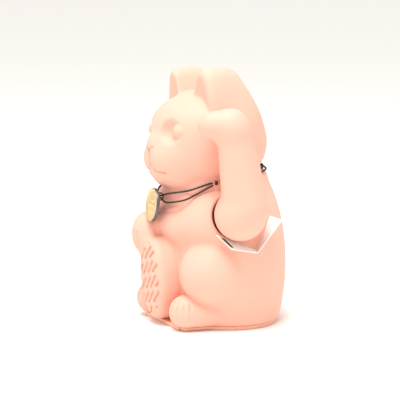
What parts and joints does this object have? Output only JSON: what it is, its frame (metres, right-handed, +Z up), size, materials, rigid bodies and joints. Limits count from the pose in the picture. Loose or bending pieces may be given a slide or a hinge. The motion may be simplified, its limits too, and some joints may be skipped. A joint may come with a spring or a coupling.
{
  "type": "beckoning cat figurine",
  "caption": "Seated cat figurine with a raised swinging arm, holding an oval tablet, with a collar cord and hanging medallion; stands on a flat base.",
  "frame": {"origin": "centre of the base's underside, on the surface the cat stands on", "axes": "+Z up, the cat looks along -Y, its own left with the raised arm is +X"},
  "size_m": [0.1011, 0.085, 0.1455],
  "materials": {
    "body_shell": "soft-touch matt",
    "base_plastic": "matt moulded",
    "cell_jacket": "printed sleeve",
    "spring_steel": "nickel plated",
    "frame_plastic": "matt moulded",
    "white_plastic": "satin moulded",
    "copper_wire": "enamelled copper",
    "circuit_board": "solder mask",
    "screw_steel": "zinc plated",
    "magnet": "nickel plated",
    "black_lead": "satin sleeve",
    "red_lead": "satin sleeve",
    "elastic_cord": "braided elastic",
    "medal_gold": "dull gold plate",
    "dull_nickel": "aged nickel",
    "card_paper": "uncoated paper"
  },
  "bodies": {
    "body": {"front_shell": "body_shell", "back_shell": "body_shell", "base_plate": "base_plastic", "aa_cell": "cell_jacket", "negative_contact": "spring_steel", "positive_contact": "spring_steel", "battery_spring": "spring_steel", "movement_frame": "frame_plastic", "left_bush": "white_plastic", "right_bush": "white_plastic", "coil_bobbin": "white_plastic", "coil_winding": "copper_wire", "circuit_board": "circuit_board", "base_screw_1": "screw_steel", "base_screw_2": "screw_steel", "base_screw_3": "screw_steel", "base_screw_4": "screw_steel", "movement_screw_1": "screw_steel", "movement_screw_2": "screw_steel", "lead_black": "black_lead", "lead_red": "red_lead", "collar_strand_upper": "elastic_cord", "collar_strand_lower": "elastic_cord", "collar_knot": "elastic_cord"},
    "raised_arm": {"arm_inner_shell": "body_shell", "arm_outer_shell": "body_shell", "arm_shaft": "screw_steel", "pendulum_lever": "white_plastic", "counterweight": "screw_steel", "pendulum_magnet": "magnet", "retaining_clip": "spring_steel"},
    "medal": {"medallion": "medal_gold", "medallion_ring": "dull_nickel"},
    "battery_door": {"battery_door": "base_plastic"},
    "card": {"transit_card": "card_paper"}
  },
  "joints": [
    {"name": "arm_swing", "type": "hinge", "parent": "body", "child": "raised_arm", "pos_m": [0, -0.002, 0.0663], "axis": [1, 0, 0], "range_deg": [-22, 22]},
    {"name": "medallion_swing", "type": "hinge", "parent": "body", "child": "medal", "pos_m": [0.0015, -0.0312, 0.0726], "axis": [-1, 0, 0], "range_deg": [0, 42]},
    {"name": "battery_door_hinge", "type": "hinge", "parent": "body", "child": "battery_door", "pos_m": [-0.028, 0.013, 0], "axis": [0, 1, 0], "range_deg": [0, 75]},
    {"name": "card_slide", "type": "slide", "parent": "body", "child": "card", "axis": [1, 0, 0], "range_m": [0, 0.02]}
  ]
}
